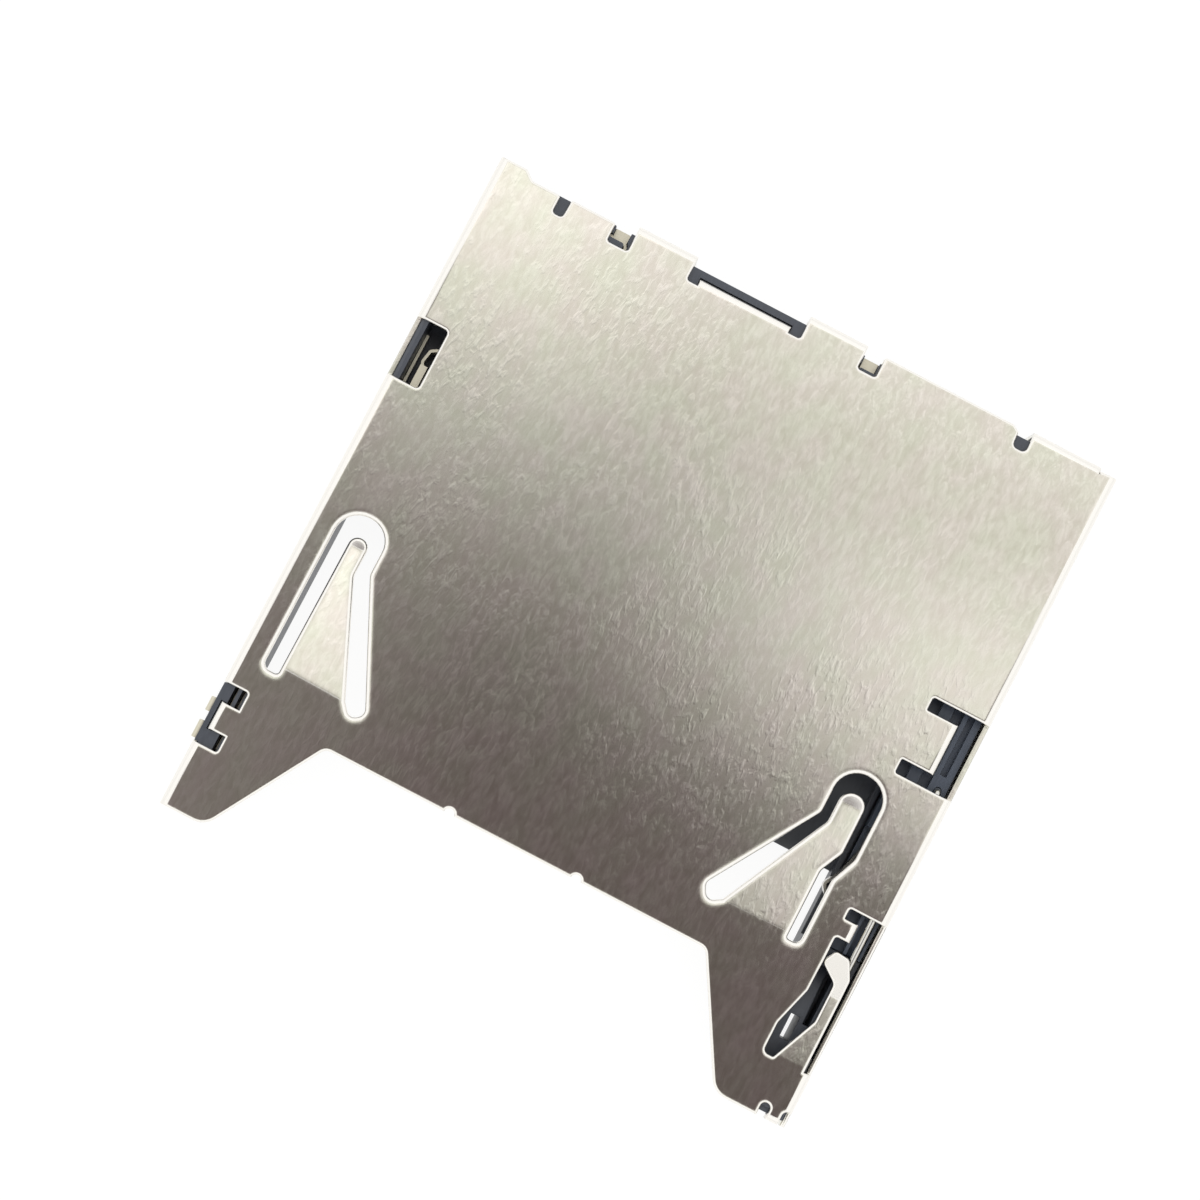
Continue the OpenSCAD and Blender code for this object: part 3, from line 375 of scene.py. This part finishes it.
# Stainless sheet, 2B mill finish: bright satin metal, warm in tone, with soft pebbled grain along
# the rolling direction, a faint pink and green mottle and a few bright flecks.
mill_steel, tree, shader = new_material("mill_finish_stainless", {
    "Base Color": linear("#e5e2d6"), "Metallic": 1.0, "Roughness": 0.1})
place = add_node(tree, "ShaderNodeTexCoord")
# Mottle: patches 1.4 mm across and 1.9 mm along the sheet
patch_map = add_node(tree, "ShaderNodeMapping", {"Scale": pattern_scale(10 / 7, 25 / 13, 10 / 7)},
                     {"Vector": (place, "Object")})
patches = add_node(tree, "ShaderNodeTexNoise", {"Scale": 1.0, "Detail": 3.0},
                   {"Vector": (patch_map, "Vector")})
tone = add_node(tree, "ShaderNodeValToRGB", links={"Fac": (patches, "Fac")})
tone.color_ramp.elements[0].position = 0.35
tone.color_ramp.elements[0].color = linear("#e3e2d4")
tone.color_ramp.elements[1].position = 0.65
tone.color_ramp.elements[1].color = linear("#e7e0d8")
# Grain: curved strokes 0.2 mm across and 0.56 mm along the sheet, coarser than the mill's own
# grain so that they show
grain_map = add_node(tree, "ShaderNodeMapping", {"Scale": pattern_scale(0.2, 5 / 9, 0.2)},
                     {"Vector": (place, "Object")})
grain = add_node(tree, "ShaderNodeTexNoise", {"Scale": 1.0, "Detail": 2.0, "Distortion": 0.4},
                 {"Vector": (grain_map, "Vector")})
strokes = add_node(tree, "ShaderNodeMapRange", {"From Min": 0.46, "From Max": 0.74},
                   {"Value": (grain, "Fac")})
# Clusters: the strokes stand out more in some places about 4 mm across
cluster_map = add_node(tree, "ShaderNodeMapping", {"Scale": pattern_scale(100 / 27, 100 / 23, 100 / 27)},
                       {"Vector": (place, "Object")})
clusters = add_node(tree, "ShaderNodeTexNoise", {"Scale": 1.0, "Detail": 2.0},
                    {"Vector": (cluster_map, "Vector")})
height = add_node(tree, "ShaderNodeMapRange",
                  {"From Min": 0.38, "From Max": 0.62, "To Min": 0.12, "To Max": 0.36},
                  {"Value": (clusters, "Fac")})
shades = add_node(tree, "ShaderNodeValToRGB", links={"Fac": (grain, "Fac")})
shades.color_ramp.elements[0].position = 0.3
shades.color_ramp.elements[0].color = linear("#eeedea")
shades.color_ramp.elements[1].position = 0.72
shades.color_ramp.elements[1].color = linear("#ffffff")
# A colour Mix takes its share at socket 0 and its colours at 6 and 7, and gives them at output 2
grained = add_node(tree, "ShaderNodeMix", {"data_type": "RGBA", "blend_type": "MULTIPLY", 0: 1.0},
                   {6: (tone, "Color"), 7: (shades, "Color")})
# Flecks: bright points about 0.1 mm across
fleck_map = add_node(tree, "ShaderNodeMapping", {"Scale": pattern_scale(1 / 9, 0.2, 1 / 9)},
                     {"Vector": (place, "Object")})
flecks = add_node(tree, "ShaderNodeTexNoise", {"Scale": 1.0, "Detail": 1.0},
                  {"Vector": (fleck_map, "Vector")})
few = add_node(tree, "ShaderNodeMapRange", {"From Min": 0.74, "From Max": 0.8, "To Max": 0.5},
               {"Value": (flecks, "Fac")})
colour = add_node(tree, "ShaderNodeMix", {"data_type": "RGBA", 7: linear("#f4f1ea")},
                  {0: (few, "Result"), 6: (grained, 2)})
tree.links.new(colour.outputs[2], shader.inputs["Base Color"])
gloss = add_node(tree, "ShaderNodeMapRange", {"To Min": 0.08, "To Max": 0.13}, {"Value": (grain, "Fac")})
tree.links.new(gloss.outputs["Result"], shader.inputs["Roughness"])
# Draw-down: the flat dips softly towards each cut edge, and further from it round the slots of
# the card-press tongues, where the die coined the sheet. Compare gives 1 inside the stretch.
spot = add_node(tree, "ShaderNodeSeparateXYZ", links={"Vector": (place, "Object")})
across = add_node(tree, "ShaderNodeMath",
                  {"operation": "COMPARE", 1: COINED_ACROSS[0], 2: COINED_ACROSS[1]}, {0: (spot, "X")})
along = add_node(tree, "ShaderNodeMath",
                 {"operation": "COMPARE", 1: COINED_ALONG[0], 2: COINED_ALONG[1]}, {0: (spot, "Y")})
coined = add_node(tree, "ShaderNodeMath", {"operation": "MULTIPLY"}, {0: (across, 0), 1: (along, 0)})
reach = add_node(tree, "ShaderNodeMapRange", {"To Min": EDGE_DIP, "To Max": SLOT_DIP},
                 {"Value": (coined, 0)})
dip = add_node(tree, "ShaderNodeBevel", {"samples": 8}, {"Radius": (reach, "Result")})
relief = add_node(tree, "ShaderNodeBump", {"Distance": 0.0000045},
                  {"Strength": (height, "Result"), "Height": (strokes, "Result"),
                   "Normal": (dip, "Normal")})
tree.links.new(relief.outputs["Normal"], shader.inputs["Normal"])

# The same steel where the punch or the fold has burnished it: without grain, with soft reflections,
# and whiter as a painted highlight. The bent tip of the rod's tongue gets it as a painted highlight only.
burnished_and_highlit_steel = new_material("burnished_stainless_edge_and_painted_highlight", {
    "Base Color": linear("#f8f5ef"), "Metallic": 1.0, "Roughness": 0.26})[0]

cover = merged_copy("shell_cover", "stamped_cover")
# The rear right corner's small arc is narrower than the rolled edge, so it is made one point
pick(cover)
bpy.ops.object.mode_set(mode="EDIT")
choose(cover, "VERT", lambda v: v.co.z > TOP_FACE and is_inside(v.co, *CORNER_ARC))
bpy.ops.mesh.merge(type="CENTER")
bpy.ops.object.mode_set(mode="OBJECT")
round_edges(cover, SLOT_ROLL, 4, is_slot_rim)
round_edges(cover, DIE_ROLL, 3, lambda edge: is_upper_rim(edge) and not is_slot_rim(edge))
bpy.ops.object.shade_smooth_by_angle(angle=SMOOTH_TURN)
finish_with(cover, mill_steel)
cover.data.materials.append(burnished_and_highlit_steel)
bpy.ops.object.mode_set(mode="EDIT")
choose(cover, "FACE", is_flat)
bpy.ops.mesh.faces_shade_flat()
# Whiter steel on the rims and folds, partly a painted highlight, and on the rod tongue's tip as a painted
# highlight only
choose(cover, "FACE", is_burnished_or_highlit)
cover.active_material_index = 1
bpy.ops.object.material_slot_assign()
bpy.ops.object.mode_set(mode="OBJECT")
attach(cover, "socket")
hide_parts("shell_cover")


# Floor and surroundings
# A sheet of white card under the part, and a white light tent round it. The tent's top is open
# to a ceiling that is darker above the mouth than above the contact end, with a pale window at
# the right, and the flat steel mirrors it.

FLOOR_SIDE = 1.6              # length of the card's sides, in metres
FLOOR_DROP = 0.00002          # how far it lies under the solder tails, in metres
GLOW_SHARE = 0.8              # part of the card's look that is an even glow

bpy.ops.object.select_all(action="DESELECT")
bpy.ops.mesh.primitive_plane_add(size=FLOOR_SIDE, location=(0, 0, -FLOOR_DROP))
floor = bpy.context.object
floor.name = "white_card_floor"
bpy.ops.object.transform_apply(location=True)
# White card: matt. What the camera and the steel see of it is mostly an even glow, so it shows
# near white and keeps only a faint shadow.
card_white = bpy.data.materials.new("white_card")
card_white.use_nodes = True
tree = card_white.node_tree
tree.nodes.clear()
path = add_node(tree, "ShaderNodeLightPath")
seen = add_node(tree, "ShaderNodeMath", {"operation": "MAXIMUM"},
                {0: (path, "Is Camera Ray"), 1: (path, "Is Glossy Ray")})
share = add_node(tree, "ShaderNodeMath", {"operation": "MULTIPLY", 1: GLOW_SHARE}, {0: (seen, 0)})
matt = add_node(tree, "ShaderNodeBsdfDiffuse", {"Color": linear("#dcdcda")})
glow = add_node(tree, "ShaderNodeEmission", {"Color": (1, 1, 1, 1), "Strength": 1.14})
both = add_node(tree, "ShaderNodeMixShader", links={"Fac": (share, 0), 1: (matt, 0), 2: (glow, 0)})
add_node(tree, "ShaderNodeOutputMaterial", links={"Surface": (both, 0)})
finish_with(floor, card_white)

# The ceiling's greys, listed from above the mouth to above the contact end. A place in
# the surroundings is the way looked in: X to the right, Y to the rear and Z up, from -1 to 1.
CEILING = ((0.0, "#625a5b"), (0.028, "#6b6867"), (0.052, "#817b7b"), (0.075, "#9d9d9b"),
           (0.1, "#b6b6b4"), (0.123, "#c3c3c0"), (0.144, "#d4d4cf"), (0.164, "#e1e1de"),
           (0.2, "#ffffff"))
WALLS_END = 0.93              # Z at which the walls of the tent end, 22 degrees off overhead
OPENING_STARTS = 0.968        # Z at which its opening starts, 15 degrees off overhead

world = bpy.data.worlds.new("photo_table")
world.use_nodes = True
bpy.context.scene.world = world
tree = world.node_tree
tree.nodes.clear()
place = add_node(tree, "ShaderNodeTexCoord")
way = add_node(tree, "ShaderNodeSeparateXYZ", links={"Vector": (place, "Generated")})
overhead = add_node(tree, "ShaderNodeValToRGB", links={"Fac": (way, "Y")})
ramp = overhead.color_ramp
darkest, *between, palest = CEILING
for stop, (position, code) in zip(ramp.elements, (darkest, palest)):
    stop.position = position
    stop.color = linear(code)
for position, code in between:
    ramp.elements.new(position).color = linear(code)
# Pale window to the right of the contact end
window_x = add_node(tree, "ShaderNodeMapRange", {"From Min": 0.0, "From Max": 0.12, "To Max": 0.56},
                    {"Value": (way, "X")})
window_near = add_node(tree, "ShaderNodeMapRange",
                       {"interpolation_type": "SMOOTHSTEP", "From Min": 0.01, "From Max": 0.062},
                       {"Value": (way, "Y")})
window_far = add_node(tree, "ShaderNodeMapRange",
                      {"interpolation_type": "SMOOTHSTEP", "From Min": 0.15, "From Max": 0.085},
                      {"Value": (way, "Y")})
window_side = add_node(tree, "ShaderNodeMath", {"operation": "MULTIPLY"},
                       {0: (window_x, 0), 1: (window_near, 0)})
window = add_node(tree, "ShaderNodeMath", {"operation": "MULTIPLY"},
                  {0: (window_side, 0), 1: (window_far, 0)})
# Paler left side, most of all at the rear
left_x = add_node(tree, "ShaderNodeMapRange", {"From Min": -0.015, "From Max": -0.085},
                  {"Value": (way, "X")})
left_y = add_node(tree, "ShaderNodeMapRange",
                  {"interpolation_type": "SMOOTHSTEP", "From Min": 0.095, "From Max": 0.13,
                   "To Min": 0.08, "To Max": 0.27}, {"Value": (way, "Y")})
left = add_node(tree, "ShaderNodeMath", {"operation": "MULTIPLY"}, {0: (left_x, 0), 1: (left_y, 0)})
lobes = add_node(tree, "ShaderNodeMath", {"operation": "ADD"}, {0: (window, 0), 1: (left, 0)})
ceiling = add_node(tree, "ShaderNodeVectorMath", {"operation": "ADD"},
                   {0: (overhead, "Color"), 1: (lobes, 0)})
ceiling_light = add_node(tree, "ShaderNodeBackground", {"Strength": 1.26}, {"Color": (ceiling, 0)})
# Walls: white all round, and a little dimmer towards the horizon
fall = add_node(tree, "ShaderNodeMapRange",
                {"From Min": 0.15, "From Max": 0.6, "To Min": 0.95, "To Max": 1.08}, {"Value": (way, "Z")})
walls_light = add_node(tree, "ShaderNodeBackground", {"Color": (1, 1, 1, 1)},
                       {"Strength": (fall, "Result")})
opening = add_node(tree, "ShaderNodeMapRange",
                   {"interpolation_type": "SMOOTHSTEP", "From Min": WALLS_END, "From Max": OPENING_STARTS},
                   {"Value": (way, "Z")})
tent = add_node(tree, "ShaderNodeMixShader",
                links={"Fac": (opening, 0), 1: (walls_light, 0), 2: (ceiling_light, 0)})
add_node(tree, "ShaderNodeOutputWorld", links={"Surface": (tent, 0)})


# Camera
# It looks straight down from a little towards the mouth, and is turned so that the contact end
# points to the upper right, as in the photograph.

DISTANCE = 0.12               # from the lens to the cover, in metres
TILT = math.radians(3.4)      # how far the lens leans from straight above, towards the mouth
ROLL = math.radians(27.55)    # how far the view is turned about its axis
FRAME_WIDTH = 0.0488          # width of the view at the cover's top face, in metres
AIM = Vector((-0.00226, 0.00057, 0.0031))     # point of that face in the middle of the view
SENSOR = 36                   # width of the camera's sensor, in millimetres

back = Vector((0, -math.sin(TILT), math.cos(TILT)))
up = Vector((-math.sin(ROLL), math.cos(ROLL), 0))
up = (up - back * up.dot(back)).normalized()
right = up.cross(back)
lens_data = bpy.data.cameras.new("photo_camera")
lens_data.sensor_width = SENSOR
lens_data.lens = SENSOR * DISTANCE / FRAME_WIDTH
lens_data.clip_start = 0.001
lens_data.clip_end = 5
camera = bpy.data.objects.new("photo_camera", lens_data)
bpy.context.scene.collection.objects.link(camera)
turn = Matrix((right, up, back)).transposed().to_4x4()
camera.matrix_world = Matrix.Translation(AIM + back * DISTANCE) @ turn
bpy.context.scene.camera = camera
bpy.context.scene.view_settings.view_transform = "Standard"
